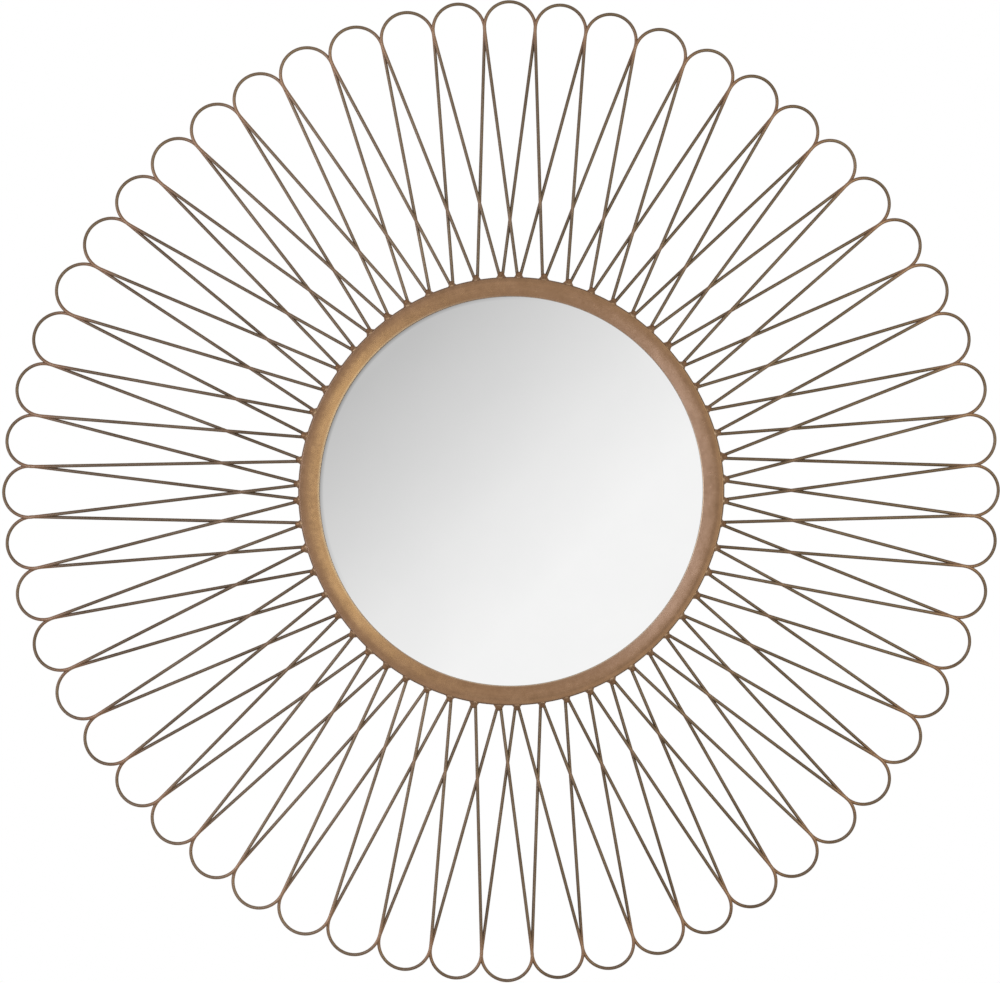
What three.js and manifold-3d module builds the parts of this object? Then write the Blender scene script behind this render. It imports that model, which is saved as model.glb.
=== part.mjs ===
// A sunburst wall mirror: a round glass in a pressed metal ring, with bent-wire petals welded round its rim.
// Millimetres, +Z up. The wall is the plane y = 0, the mirror faces -Y and the origin is the centre of its back.
// Clock angles run clockwise from twelve o'clock, as seen from the front.
import * as THREE from "three";
import { mergeVertices } from "three/addons/utils/BufferGeometryUtils.js";
import Module from "manifold-3d";

// Ring: a pressed channel of sheet metal, open at the back
const ringRadius = 194.6; // outer wall
const sightRadius = 176.6; // edge of the visible glass
const ringStretch = 0.006; // share by which the ring is drawn out upwards and drawn in at the sides
const ringDepth = 20; // wall to the flat band of the front
const bandWidth = 8.2; // the flat outer band, from which the front falls to its lip
const cornerCut = 2; // chamfer at the outer corner of the front
const lipDrop = 1.2; // the front falls this much from the band to its inner lip
const sheet = 1.5;

// Glass and board inside the ring
const gap = 0.3; // clearance between neighbouring pieces
const boardThickness = 9;
const glassThickness = 4;
const glassRadius = 184;

// Hanger: a steel keyhole plate let into the board
const plateWidth = 56;
const plateHeight = 28;
const plateThickness = 2;
const plateCorner = 5; // cut off each corner
const plateCentreUp = 125; // above the origin
const keyholeEntryRadius = 4.75;
const keyholeSlotRadius = 2.4;
const keyholeTravel = 11; // from the entry up to the end of the slot
const screwRoomWidth = 15;
const screwRoomHeight = 24;
const screwRoomDepth = 6.5;

// Petals: one bent wire each, with both ends welded to the ring
const petalCount = 56;
const wireDiameter = 3;
const wirePlane = 10.6; // middle of the two wire layers, out from the wall
const layerStep = 3.3; // from the front layer to the back one
const turnover = THREE.MathUtils.degToRad(60); // either side of the tip, where the wire changes layer
const arcSteps = 8;
const wireSides = 6;

// Hand-bent petals: their reach and their places depart a little from a true wheel
const reachMean = 450.8; // ring centre to the outside of a tip
const reachLeft = 8.5; // longer at nine o'clock, shorter at three
const reachSides = 3; // longer at both sides than at top and bottom
const reachAxes = 3.1; // longer on the four axes than between them
const wheelLean = THREE.MathUtils.degToRad(0.6); // petals at top and bottom stand this far to the left
const footGather = THREE.MathUtils.degToRad(0.95); // feet drawn towards the four axes
// Slow waves round the wheel, each as [waves in a turn, cosine part, sine part]
const tipWander = [[2, 1, 0.3], [3, 1.5, 0], [4, 0, -1.4], [8, 0, -1.2]]; // tips, clockwise
const footWander = [[2, 0.9, -1.1], [4, 0, 0.9], [6, 0, 1.1]]; // feet, clockwise
const reachWander = [[3, 0, 0.9], [6, -0.6, 0]]; // reach of the tips

// Weld nuggets: one for each pair of neighbouring wire ends
const nuggetRise = 4.4; // flat end, out from the ring's wall
const nuggetTopWidth = 6.6;
const nuggetFootWidth = 8;
const nuggetDepth = 6.6;
const footSpread = 1.65; // each wire's middle from the middle of its nugget
const footRadius = ringRadius + nuggetRise + 2 * gap; // where the wires end, on the average

const roundSteps = petalCount; // facets of the ring and of the board that fits it
const glassSteps = 40; // facets of the glass, whose rim is hidden
const petalPitch = (2 * Math.PI) / petalCount;

const wasm = await Module();
wasm.setup();

function toSolid(geometry) {
  const bare = geometry.clone();
  bare.deleteAttribute("normal");
  bare.deleteAttribute("uv");
  const merged = mergeVertices(bare);
  return new wasm.Manifold(
    new wasm.Mesh({
      numProp: 3,
      vertProperties: new Float32Array(merged.attributes.position.array),
      triVerts: new Uint32Array(merged.index.array),
    }),
  );
}

function toGeometry(solid) {
  const mesh = solid.getMesh();
  const geometry = new THREE.BufferGeometry();
  geometry.setAttribute("position", new THREE.BufferAttribute(mesh.vertProperties, mesh.numProp));
  geometry.setIndex(new THREE.BufferAttribute(mesh.triVerts, 1));
  geometry.computeVertexNormals();
  return geometry;
}

function bronze(colour) {
  return new THREE.MeshStandardMaterial({ color: colour, roughness: 0.45, metalness: 0.8 });
}

// A point in the plane of the wall, at a distance and clock angle from the ring's centre
function clockPoint(radius, angle) {
  return new THREE.Vector2(radius * Math.sin(angle), radius * Math.cos(angle));
}

// Where the hand-bent wheel of petals puts an angle of a true wheel
function leanedAngle(even) {
  return even - wheelLean * Math.cos(even);
}

function wander(waves, angle) {
  let sum = 0;
  for (const [count, cosine, sine] of waves) {
    sum += cosine * Math.cos(count * angle) + sine * Math.sin(count * angle);
  }
  return sum;
}

// Ring

// The radius that the stretch gives a circle at a clock angle
function stretched(radius, angle) {
  return radius * (1 + ringStretch * Math.cos(2 * angle));
}

function stretchTurned(geometry) {
  return geometry.scale(1 - ringStretch, 1, 1 + ringStretch);
}

// The sheet's section as (radius, y), from the back over the corner to the lip, set in from the outer skin
function ringSkin(inset) {
  const front = inset - ringDepth;
  return [
    new THREE.Vector2(ringRadius - inset, 0),
    new THREE.Vector2(ringRadius - inset, cornerCut - ringDepth),
    new THREE.Vector2(ringRadius - cornerCut, front),
    new THREE.Vector2(sightRadius + inset, front + lipDrop),
    new THREE.Vector2(sightRadius + inset, -(boardThickness + glassThickness + 3 * gap)),
  ];
}

// Foot k stands between petals k and k + 1
function footAngle(k) {
  const even = (k + 0.5) * petalPitch;
  const quarter = Math.PI / 2;
  const share = THREE.MathUtils.euclideanModulo(even, quarter) / quarter; // 0 past an axis, 1 before the next
  return leanedAngle(even) + footGather * (2 * share - 1) + wander(footWander, even) / footRadius;
}

// A square-sided lump that narrows outwards from the sheet's middle to the flat where the wires end
function weldNugget(k) {
  const foot = stretched(ringRadius, footAngle(k)) - sheet / 2;
  const height = nuggetRise + sheet / 2;
  const corner = Math.SQRT1_2; // from a square's side to its corner radius
  const nugget = new THREE.CylinderGeometry(
    nuggetTopWidth * corner, nuggetFootWidth * corner, height, 4, 1, false, Math.PI / 4);
  nugget.scale(1, 1, nuggetDepth / nuggetFootWidth);
  nugget.rotateX(Math.PI / 2);
  nugget.translate(0, -wirePlane, foot + height / 2);
  nugget.rotateY(footAngle(k));
  return nugget;
}

function ringMesh() {
  const inside = ringSkin(sheet);
  const [wallBack, wallFront, cornerFront, lipFront, lipBack] = ringSkin(0);
  const bandEdge = new THREE.Vector2(ringRadius - bandWidth, -ringDepth);
  const section = [...inside, lipBack, lipFront, bandEdge, cornerFront, wallFront, wallBack, inside[0]];
  let solid = toSolid(stretchTurned(new THREE.LatheGeometry(section, roundSteps)));
  for (let k = 0; k < petalCount; k++) {
    solid = solid.add(toSolid(weldNugget(k)));
  }
  const mesh = new THREE.Mesh(toGeometry(solid), bronze(0x96704b));
  mesh.name = "frame_ring";
  return mesh;
}

// Glass and board

function disc(radius, back, front, steps) {
  const section = [
    new THREE.Vector2(0, front),
    new THREE.Vector2(radius, front),
    new THREE.Vector2(radius, back),
    new THREE.Vector2(0, back),
  ];
  return new THREE.LatheGeometry(section, steps);
}

function glassMesh() {
  const back = -(boardThickness + gap);
  const silver = new THREE.MeshStandardMaterial({ color: 0xe6e8ea, roughness: 0.02, metalness: 1 });
  const mesh = new THREE.Mesh(disc(glassRadius, back, back - glassThickness, glassSteps), silver);
  mesh.name = "mirror_glass";
  return mesh;
}

function boardMesh() {
  const radius = ringRadius - sheet - gap;
  const pocket = new THREE.BoxGeometry(
    plateWidth + 2 * gap,
    2 * (plateThickness + gap),
    plateHeight + 2 * gap,
  ).translate(0, 0, plateCentreUp);
  const screwRoom = new THREE.BoxGeometry(screwRoomWidth, 2 * screwRoomDepth, screwRoomHeight)
    .translate(0, 0, plateCentreUp);
  const blank = toSolid(stretchTurned(disc(radius, 0, -boardThickness, roundSteps)));
  const solid = blank.subtract(toSolid(pocket)).subtract(toSolid(screwRoom));
  const mesh = new THREE.Mesh(
    toGeometry(solid),
    new THREE.MeshStandardMaterial({ color: 0x8a6b4d, roughness: 0.85, metalness: 0 }),
  );
  mesh.name = "backing_board";
  return mesh;
}

// Hanger

function keyhole() {
  const low = -keyholeTravel / 2;
  const high = keyholeTravel / 2;
  const meet = Math.asin(keyholeSlotRadius / keyholeEntryRadius); // where the slot leaves the entry circle
  const outline = new THREE.Path();
  outline.absarc(0, low, keyholeEntryRadius, Math.PI / 2 - meet, Math.PI / 2 + meet, true);
  outline.lineTo(-keyholeSlotRadius, high);
  outline.absarc(0, high, keyholeSlotRadius, Math.PI, 0, true);
  outline.closePath();
  return outline;
}

function hangerMesh() {
  const x = plateWidth / 2;
  const z = plateHeight / 2;
  const c = plateCorner;
  const outline = new THREE.Shape();
  outline.moveTo(x, z - c);
  outline.lineTo(x - c, z);
  outline.lineTo(c - x, z);
  outline.lineTo(-x, z - c);
  outline.lineTo(-x, c - z);
  outline.lineTo(c - x, -z);
  outline.lineTo(x - c, -z);
  outline.lineTo(x, c - z);
  outline.closePath();
  outline.holes.push(keyhole());
  const plate = new THREE.ExtrudeGeometry(outline, {
    depth: plateThickness,
    bevelEnabled: false,
    curveSegments: 6,
  });
  plate.rotateX(Math.PI / 2);
  const steel = new THREE.MeshStandardMaterial({ color: 0xa9acae, roughness: 0.4, metalness: 1 });
  const mesh = new THREE.Mesh(plate, steel);
  mesh.name = "hanger_plate";
  mesh.position.z = plateCentreUp;
  return mesh;
}

// Petals

function tipReach(angle) {
  return (
    reachMean -
    reachLeft * Math.sin(angle) -
    reachSides * Math.cos(2 * angle) +
    reachAxes * Math.cos(4 * angle) +
    wander(reachWander, angle)
  );
}

function petalAngle(k) {
  const even = k * petalPitch;
  return leanedAngle(even) + wander(tipWander, even) / reachMean;
}

// The wire's middle line in the petal's own frame, with its tip up: one leg in the front layer, the round of
// the tip, and the other leg at the back. Each leg meets the round as a tangent and crosses the other on its way
// to the ring. There is one step for each leg and arcSteps for the round, evenly spaced in the parameter.
class PetalCurve extends THREE.Curve {
  constructor(k) {
    super();
    const widen = Math.sin(petalPitch / 2); // neighbouring rounds lie one behind the other where they meet
    this.centre = (tipReach(k * petalPitch) - wireDiameter / 2) / (1 + widen);
    this.radius = this.centre * widen;
    this.frontFoot = this.footPlace(k, footAngle(k) - footSpread / footRadius);
    this.backFoot = this.footPlace(k, footAngle(k - 1) + footSpread / footRadius);
    this.start = this.legHeading(this.frontFoot, -1) - Math.PI / 2;
    this.end = this.legHeading(this.backFoot, 1) + Math.PI / 2;
  }

  footPlace(k, angle) {
    return clockPoint(stretched(footRadius, angle), angle - petalAngle(k));
  }

  // Clock angle of the tangent from a foot to the round: side is -1 for its left side, 1 for its right
  legHeading(foot, side) {
    const toCentre = new THREE.Vector2(0, this.centre).sub(foot);
    return Math.atan2(toCentre.x, toCentre.y) + side * Math.asin(this.radius / toCentre.length());
  }

  getUtoTmapping(u) {
    return u;
  }

  footPoint(foot, layer) {
    return new THREE.Vector3(foot.x, layer * layerStep - wirePlane, foot.y);
  }

  roundPoint(share) {
    const turn = THREE.MathUtils.lerp(this.start, this.end, share);
    const layer = THREE.MathUtils.smoothstep(turn, -turnover, turnover) - 0.5;
    const place = clockPoint(this.radius, turn);
    return new THREE.Vector3(place.x, layer * layerStep - wirePlane, this.centre + place.y);
  }

  getPoint(t, target = new THREE.Vector3()) {
    const step = t * (arcSteps + 2);
    if (step < 1) {
      return target.lerpVectors(this.footPoint(this.frontFoot, -0.5), this.roundPoint(0), step);
    }
    if (step > arcSteps + 1) {
      return target.lerpVectors(this.roundPoint(1), this.footPoint(this.backFoot, 0.5), step - arcSteps - 1);
    }
    return target.copy(this.roundPoint((step - 1) / arcSteps));
  }
}

// A section with the round wire's area, and its corners at the wire's sides as seen from the front
function wireSection() {
  const circleArea = (Math.PI * wireDiameter ** 2) / 4;
  const unitArea = (wireSides / 2) * Math.sin((2 * Math.PI) / wireSides);
  const radius = Math.sqrt(circleArea / unitArea);
  const corners = [];
  for (let i = 0; i < wireSides; i++) {
    const turn = ((i + 0.5) * 2 * Math.PI) / wireSides;
    corners.push(new THREE.Vector2(radius * Math.cos(turn), radius * Math.sin(turn)));
  }
  return new THREE.Shape(corners);
}

function petalMesh(k) {
  const wire = new THREE.ExtrudeGeometry(wireSection(), {
    steps: arcSteps + 2,
    bevelEnabled: false,
    extrudePath: new PetalCurve(k),
  });
  const mesh = new THREE.Mesh(wire, bronze(0x5d4938));
  mesh.name = "petal_" + String(k + 1).padStart(2, "0");
  mesh.rotation.y = petalAngle(k);
  return mesh;
}

const mirror = new THREE.Group();
mirror.add(ringMesh(), glassMesh(), boardMesh(), hangerMesh());
for (let k = 0; k < petalCount; k++) {
  mirror.add(petalMesh(k));
}

export default mirror;
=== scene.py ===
import math

import bpy
import numpy as np
from mathutils import Matrix, Vector


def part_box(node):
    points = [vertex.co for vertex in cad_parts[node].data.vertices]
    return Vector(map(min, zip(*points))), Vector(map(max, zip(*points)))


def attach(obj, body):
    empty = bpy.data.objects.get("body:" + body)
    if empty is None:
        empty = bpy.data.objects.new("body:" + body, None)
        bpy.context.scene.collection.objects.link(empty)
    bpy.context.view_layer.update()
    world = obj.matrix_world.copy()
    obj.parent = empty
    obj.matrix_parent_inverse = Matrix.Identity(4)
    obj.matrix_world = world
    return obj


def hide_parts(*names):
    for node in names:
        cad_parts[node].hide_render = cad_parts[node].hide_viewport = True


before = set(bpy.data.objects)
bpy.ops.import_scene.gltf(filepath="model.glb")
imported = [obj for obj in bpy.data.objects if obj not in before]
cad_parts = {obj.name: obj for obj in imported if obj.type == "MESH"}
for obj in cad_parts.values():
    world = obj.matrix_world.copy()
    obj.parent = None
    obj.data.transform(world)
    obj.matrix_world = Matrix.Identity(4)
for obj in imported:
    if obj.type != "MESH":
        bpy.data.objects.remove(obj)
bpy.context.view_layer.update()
scene = bpy.context.scene
mm = 0.001
noiseSpan = (0.3, 0.7)                # most of a noise's values lie between these
print("frame:", len(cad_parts), "solids")


# the quads between neighbouring lines of a grid of points; a closed side joins its last line to its first
def gridFaces(rows, columns, closeRows=False, closeColumns=False):
    row = np.arange(rows if closeRows else rows - 1)[:, None]
    column = np.arange(columns if closeColumns else columns - 1)[None, :]
    nextRow = (row + 1) % rows
    nextColumn = (column + 1) % columns
    corners = [row * columns + column, nextRow * columns + column,
               nextRow * columns + nextColumn, row * columns + nextColumn]
    return np.stack(corners, -1).reshape(-1, 4)


# triangles from a pole to the closed line of points that starts at first
def fanFaces(pole, first, count, outward=True):
    here = first + np.arange(count)
    after = first + (np.arange(count) + 1) % count
    pair = (after, here) if outward else (here, after)
    return np.stack([np.full(count, pole), *pair], -1)


# a grid that closes round, with a fan on its first line and one on its last; their poles follow its points
def cappedFaces(rows, columns):
    poles = rows * columns
    return [gridFaces(rows, columns, closeColumns=True),
            fanFaces(poles, 0, columns, outward=False),
            fanFaces(poles + 1, poles - columns, columns)]


# points and faces become a smooth piece on the one body, with its finish and the solids it stands for
def makePiece(name, points, faces, finish, nodes=(), sharpAngle=None):
    mesh = bpy.data.meshes.new(name)
    mesh.from_pydata(points.reshape(-1, 3).tolist(), [], [f for part in faces for f in part.tolist()])
    mesh.shade_smooth()
    if sharpAngle:
        mesh.set_sharp_from_angle(angle=sharpAngle)
    mesh.materials.append(finish)
    piece = bpy.data.objects.new(name, mesh)
    scene.collection.objects.link(piece)
    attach(piece, "root")
    if nodes:
        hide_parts(*nodes)
    return piece


# a number for each point, which the finishes read by name
def paint(piece, name, values):
    attribute = piece.data.attributes.new(name, "FLOAT", "POINT")
    attribute.data.foreach_set("value", np.ascontiguousarray(values, np.float32).ravel())


# a bell curve: one at the middle, about a third one width away
def bell(distance, width):
    return np.exp(-(distance / width) ** 2)


# goes from 0 at low to 1 at high, level at both ends; low may be the greater of the two
def easeIn(value, low, high):
    share = np.clip((value - low) / (high - low), 0, 1)
    return share * share * (3 - 2 * share)


# even steps round a full turn
def turnSteps(count):
    return np.linspace(0, math.tau, count, endpoint=False)


# how far one angle is from another, the short way round
def angleFrom(angle, other):
    return np.mod(angle - other + math.pi, math.tau) - math.pi


# points from their distance from the wheel's axis, their depth and their clock angle from the top
def onWheel(radius, depth, angle):
    return np.stack(np.broadcast_arrays(radius * np.sin(angle), depth, radius * np.cos(angle)), -1)


# even points on a straight line
def straight(start, end, count):
    return np.linspace(start, end, count)


# points of a round corner about a middle, between two angles measured from straight outwards to the front
def corner(radius, depth, size, start, end, count):
    angle = np.radians(np.linspace(start, end, count))
    return np.stack([radius + size * np.cos(angle), depth - size * np.sin(angle)], -1)


# a finish with its nodes, its shader and the place of a point on the piece
def newFinish(name):
    finish = bpy.data.materials.new(name)
    finish.use_nodes = True
    tree = finish.node_tree
    shader = tree.nodes["Principled BSDF"]
    place = tree.nodes.new("ShaderNodeTexCoord").outputs["Object"]
    return finish, tree, shader, place


# sets the sockets named in values, by number or by link
def setInputs(tree, made, values):
    for key, value in values.items():
        if isinstance(value, bpy.types.NodeSocket):
            tree.links.new(value, made.inputs[key])
        else:
            made.inputs[key].default_value = value


# a sum, product or the like of two numbers
def numberStep(tree, operation, first, second):
    made = tree.nodes.new("ShaderNodeMath")
    made.operation = operation
    setInputs(tree, made, {0: first, 1: second})
    return made.outputs["Value"]


# the same for places and directions
def vectorStep(tree, operation, *values, output="Value"):
    made = tree.nodes.new("ShaderNodeVectorMath")
    made.operation = operation
    setInputs(tree, made, dict(enumerate(values)))
    return made.outputs[output]


# patches of noise, each about as wide as size
def cloud(tree, place, size, detail=3.0, roughness=0.55):
    made = tree.nodes.new("ShaderNodeTexNoise")
    setInputs(tree, made, {"Vector": place, "Scale": 1 / size, "Detail": detail, "Roughness": roughness})
    return made.outputs["Fac"]


# colours that change from stop to stop along a share
def ramp(tree, share, stops):
    made = tree.nodes.new("ShaderNodeValToRGB")
    while len(made.color_ramp.elements) < len(stops):
        made.color_ramp.elements.new(0.5)
    for element, (at, colour) in zip(made.color_ramp.elements, stops):
        element.position = at
        element.color = (*colour, 1)
    tree.links.new(share, made.inputs["Fac"])
    return made.outputs["Color"]


# carries numbers between two limits over to two others
def spread(tree, value, lowIn, highIn, lowOut, highOut, way="LINEAR"):
    made = tree.nodes.new("ShaderNodeMapRange")
    made.interpolation_type = way
    setInputs(tree, made, {"Value": value, "From Min": lowIn, "From Max": highIn,
                           "To Min": lowOut, "To Max": highOut})
    return made.outputs["Result"]


# share 0 keeps the colour under, share 1 takes the colour over
def layColour(tree, share, under, over, way="MIX"):
    made = tree.nodes.new("ShaderNodeMix")
    made.data_type = "RGBA"
    made.blend_type = way
    setInputs(tree, made, {0: share, 6: under, 7: over})
    return made.outputs[2]


# what paint() put on the piece under this name
def painted(tree, name):
    made = tree.nodes.new("ShaderNodeAttribute")
    made.attribute_name = name
    return made.outputs["Fac"]


# fine relief in the shading
def grain(tree, shader, height, strength, depth):
    made = tree.nodes.new("ShaderNodeBump")
    setInputs(tree, made, {"Height": height, "Strength": strength, "Distance": depth})
    tree.links.new(made.outputs["Normal"], shader.inputs["Normal"])


bronze = {
    "ring": {"deep": (0.262, 0.143, 0.072), "mid": (0.284, 0.156, 0.081), "pale": (0.306, 0.171, 0.091),
             "scorch_and_shade": (0.170, 0.082, 0.040), "rubbed_and_highlight": (0.600, 0.450, 0.310),
             "metallic": 0.85, "rough": (0.21, 0.28), "turned": 0.25,
             "patch": 18 * mm, "mottle": 4.5 * mm, "speckle": 0.10},
    "wire": {"deep": (0.108, 0.069, 0.041), "mid": (0.132, 0.086, 0.052), "pale": (0.159, 0.107, 0.067),
             "scorch_and_shade": (0.270, 0.138, 0.076), "rubbed_and_highlight": (0.310, 0.210, 0.135),
             "metallic": 0.80, "rough": (0.32, 0.42), "turned": 0.0,
             "patch": 55 * mm, "mottle": 9.0 * mm, "speckle": 0.25},
    "weld": {"deep": (0.205, 0.112, 0.058), "mid": (0.250, 0.140, 0.073), "pale": (0.300, 0.174, 0.094),
             "scorch_and_shade": (0.165, 0.080, 0.040), "rubbed_and_highlight": (0.480, 0.330, 0.205),
             "metallic": 0.80, "rough": (0.34, 0.50), "turned": 0.0,
             "patch": 5 * mm, "mottle": 1.6 * mm, "speckle": 0.50},
    "tonesAt": (0.30, 0.50, 0.72),    # where in the clouds the deep, middle and pale tones lie
    # tints over those tones, by where in the mottle and in the turned lines
    "specks": [(0.32, (0.74, 0.70, 0.66)), (0.52, (1.00, 1.00, 1.00)), (0.75, (1.12, 1.08, 1.00))],
    "streaks": [(0.30, (0.82, 0.80, 0.78)), (0.70, (1.12, 1.12, 1.12))],
    "turnedLine": 0.9 * mm,           # width of a streak
    "painted_shade": (0.070, 0.060, 0.052),    # the dark, dull tone of painted shade
    "shadeRough": 0.5,                 # what it adds to the roughness
    "edgeOn": (0.60, 0.47, 0.36),     # tint of the gloss on surfaces seen nearly edge on
    "lacquer": 0.15,
    "lacquerRough": 0.35,
    "pits": 0.5 * mm,
    "pitDepth": 0.06 * mm,
    "pitStrength": 0.006,
}


# distance from the wheel's axis, or from it in units that follow an outline drawn out upwards
def axisDistance(tree, place, drawnOut=0.0):
    flat = vectorStep(tree, "MULTIPLY", place, (1 + drawnOut, 0, 1 - drawnOut), output="Vector")
    return vectorStep(tree, "LENGTH", flat)


# a tone that depends only on that distance, so it runs round in fine lines
def turnedLines(tree, place, size):
    made = tree.nodes.new("ShaderNodeTexNoise")
    made.noise_dimensions = "1D"
    setInputs(tree, made, {"W": axisDistance(tree, place), "Scale": 1 / size, "Detail": 2.0})
    return made.outputs["Fac"]


# antique bronze: broad clouds of tone under a finer mottle, scorched where it was heated for brazing,
# rubbed brighter along the edges, with painted shade laid in the scorched tone and in a dull dark tone,
# painted highlight and painted light laid in the rubbed tone, and small pits in the surface; the frame was
# also turned smooth
def bronzeFinish(name, tone):
    finish, tree, shader, place = newFinish(name)
    broad = cloud(tree, place, tone["patch"])
    mottle = cloud(tree, place, tone["mottle"], detail=4.0)
    pits = cloud(tree, place, bronze["pits"], detail=2.0)
    colour = ramp(tree, broad, list(zip(bronze["tonesAt"], (tone["deep"], tone["mid"], tone["pale"]))))
    colour = layColour(tree, tone["speckle"], colour, ramp(tree, mottle, bronze["specks"]), "MULTIPLY")
    if tone["turned"]:
        lines = turnedLines(tree, place, bronze["turnedLine"])
        colour = layColour(tree, tone["turned"], colour, ramp(tree, lines, bronze["streaks"]), "MULTIPLY")
    # scorched tone: heat tint at welds and brazes, and painted shade on the frame's rim and wall
    colour = layColour(tree, painted(tree, "scorch_and_shade"), colour, (*tone["scorch_and_shade"], 1))
    # rubbed tone: real rubbing at edges and joints, plus painted highlights and painted light
    colour = layColour(tree, painted(tree, "rubbed_and_highlight"), colour, (*tone["rubbed_and_highlight"], 1))
    # painted shade: a dull dark tone laid where shade falls on the frame and the wires
    painted_shade = painted(tree, "painted_shade")
    colour = layColour(tree, painted_shade, colour, (*bronze["painted_shade"], 1))
    rough = numberStep(tree, "ADD", spread(tree, mottle, *noiseSpan, *tone["rough"]),
                       spread(tree, painted_shade, 0, 1, 0, bronze["shadeRough"]))
    setInputs(tree, shader, {"Base Color": colour, "Roughness": rough,
                             "Metallic": spread(tree, painted_shade, 0, 1, tone["metallic"], 0),
                             "Specular Tint": (*bronze["edgeOn"], 1),
                             "Coat Weight": spread(tree, painted_shade, 0, 1, bronze["lacquer"], 0),
                             "Coat Roughness": bronze["lacquerRough"]})
    grain(tree, shader, pits, bronze["pitStrength"], bronze["pitDepth"])
    return finish


# the frame's settings come first, because the feet of the wires follow its outline
ring = {
    "outer": 194.6 * mm,
    "sight": 177.0 * mm,              # radius of the opening
    # both edges are a little out of round: waves in a turn, then their cosine and sine parts
    "outerWaves": [(2, 0.9 * mm, 0.5 * mm), (4, 0.7 * mm, 0.0), (6, -0.4 * mm, 0.0)],
    "sightWaves": [(2, 1.4 * mm, 0.3 * mm)],
    "cornerRound": 1.6 * mm,
    "fallFrom": 191.0 * mm,           # a flat band outside this, and a fall to the lip inside it
    "fallSoft": 0.25,                 # how gently the fall starts
    "lipDrop": 2.8 * mm,
    "lipRound": 0.5 * mm,
    "glassGap": 0.6 * mm,             # between the lip and the glass
    "sheet": 1.5 * mm,
    "softEdge": 0.4 * mm,
    "sharpAngle": math.radians(40),
    "steps": {"wall": 6, "corner": 9, "front": 30, "lip": 7, "inside": 3, "insideCorner": 4},
    "around": 336,
    "planish": 0.02 * mm,             # height of the slow waves left by hand working
    "planishWaves": [(31, 3.0 * mm), (47, 4.0 * mm)],     # how many round, and a radian's width across
    "planishFrom": (3.0 * mm, 1.0 * mm),                  # they fade behind the front
    # wear and painted light: distances are in from the outer edge, out from the opening or behind the front
    "weldHeat": 0.5,                  # scorched round each weld, this far along the edge and in from it
    "weldHeatWide": 4.5 * mm,
    "weldHeatIn": 4.0 * mm,
    "wallShade": 0.5,                  # painted shade on the wall, in the scorched tone
    "wallFrom": (1.0 * mm, 4.0 * mm),
    "rimRedShade": 0.9,                   # painted shade along the rim, in the scorched tone
    "rimFrom": (2.0 * mm, 0.6 * mm),
    "rimDullShade": 0.5,                   # and in the dull dark tone, which also dims the lamps' gloss there
    "rimShadeCut": 0.6,                  # less of that painted shade by this share at the welds
    "rimShadeCutWide": 5.0 * mm,
    "lipFrom": (0.5 * mm, 0.1 * mm),  # where the inside of the lip starts
    "lipShade": 0.35,                  # painted shade in there, where it lies and how far round
    "lipShadeAt": math.radians(315),
    "lipShadeSpan": math.radians(38),
    "lipLitAt": math.radians(135),      # where painted light brightens the inside of the lip
    "lipLitFrom": (0.0, 0.6),           # by the cosine of the angle from there
    "rubbed_and_highlight": (0.1, 0.5),             # brightness of the lip's rubbed edge with its painted highlight, at least and at most
    "rubbedWide": 1.2 * mm,
    "highlightAt": math.radians(285),    # where the painted highlight is brightest
    "highlightFrom": (0.2, 0.9),         # by the cosine of the angle from there
}
wire = {
    "count": 56,
    "diameter": 3.0 * mm,
    "plane": 10.6 * mm,               # off the wall, to the middle between the two layers of legs
    "layerStep": 3.3 * mm,            # from the back layer of legs to the front one
    "turnover": math.radians(60),     # either side of the tip, where the wire changes layer
    "reachMean": 450.8 * mm,          # to the outer edge of a tip
    "reachLeft": 8.5 * mm,            # longer at the left
    "reachSides": 3.0 * mm,           # shorter at top and bottom
    "reachAxes": 3.1 * mm,            # longer on the upright and level lines
    "wheelLean": math.radians(0.6),   # to the left, at top and bottom
    "footGather": math.radians(0.95),  # feet are drawn this far towards the upright and level lines
    "rightEase": 0.75,                # less of it at the right, by this share
    "rightSpan": math.radians(8),
    "footSpread": 1.95 * mm,          # from the middle of a weld to each of its two legs
    "footRadius": 199.6 * mm,         # where the legs are set out from
    # slow waves round the wheel: how many in a turn, then their cosine and sine parts
    "tipWander": [(0, 0.5 * mm, 0.0), (2, 1.0 * mm, 0.3 * mm), (3, 1.5 * mm, 0.0), (4, 0.0, -1.4 * mm),
                  (5, 0.4 * mm, 0.0), (6, 0.0, 0.6 * mm), (8, 0.0, -1.2 * mm)],
    "footWander": [(2, 0.9 * mm, -1.1 * mm), (4, 0.0, 0.9 * mm), (6, 0.0, 1.1 * mm), (8, 0.0, -0.5 * mm)],
    "reachWander": [(3, 0.0, 0.9 * mm), (6, -0.6 * mm, 0.0)],
    "buried": 5.6 * mm,               # of each leg inside its weld, up to the wall
    "legSteps": 60,
    "arcSteps": 48,
    "sides": 12,
    "swell": 0.04,                    # thicker by this share where two petals are brazed
    "tieSwell": 0.6,                  # this much of it where a petal's own legs cross
    "brazeLength": 4.0 * mm,
    "warm": 0.8,                      # how red the brazing heat has left them
    "tieWarm": 0.5,                   # this much of it where a petal's own legs cross
    "warmLength": 14.0 * mm,
    "bright": 0.3,                    # how bright a brazed joint is rubbed
    "pale": 0.25,                     # how much paler painted light leaves the wires, and where
    "litAt": (math.radians(210), math.radians(330)),
    "litSpan": math.radians(18),
    "dark": 0.12,                     # how much painted shade darkens them at the top, and how far either side
    "topShadeSpan": math.radians(20),
}
pitch = math.tau / wire["count"]
petalSteps = np.arange(wire["count"])


# the clock angle from the top, where the whole wheel leans a little to one side
def leanedAngle(even):
    return even - wire["wheelLean"] * np.cos(even)


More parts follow.
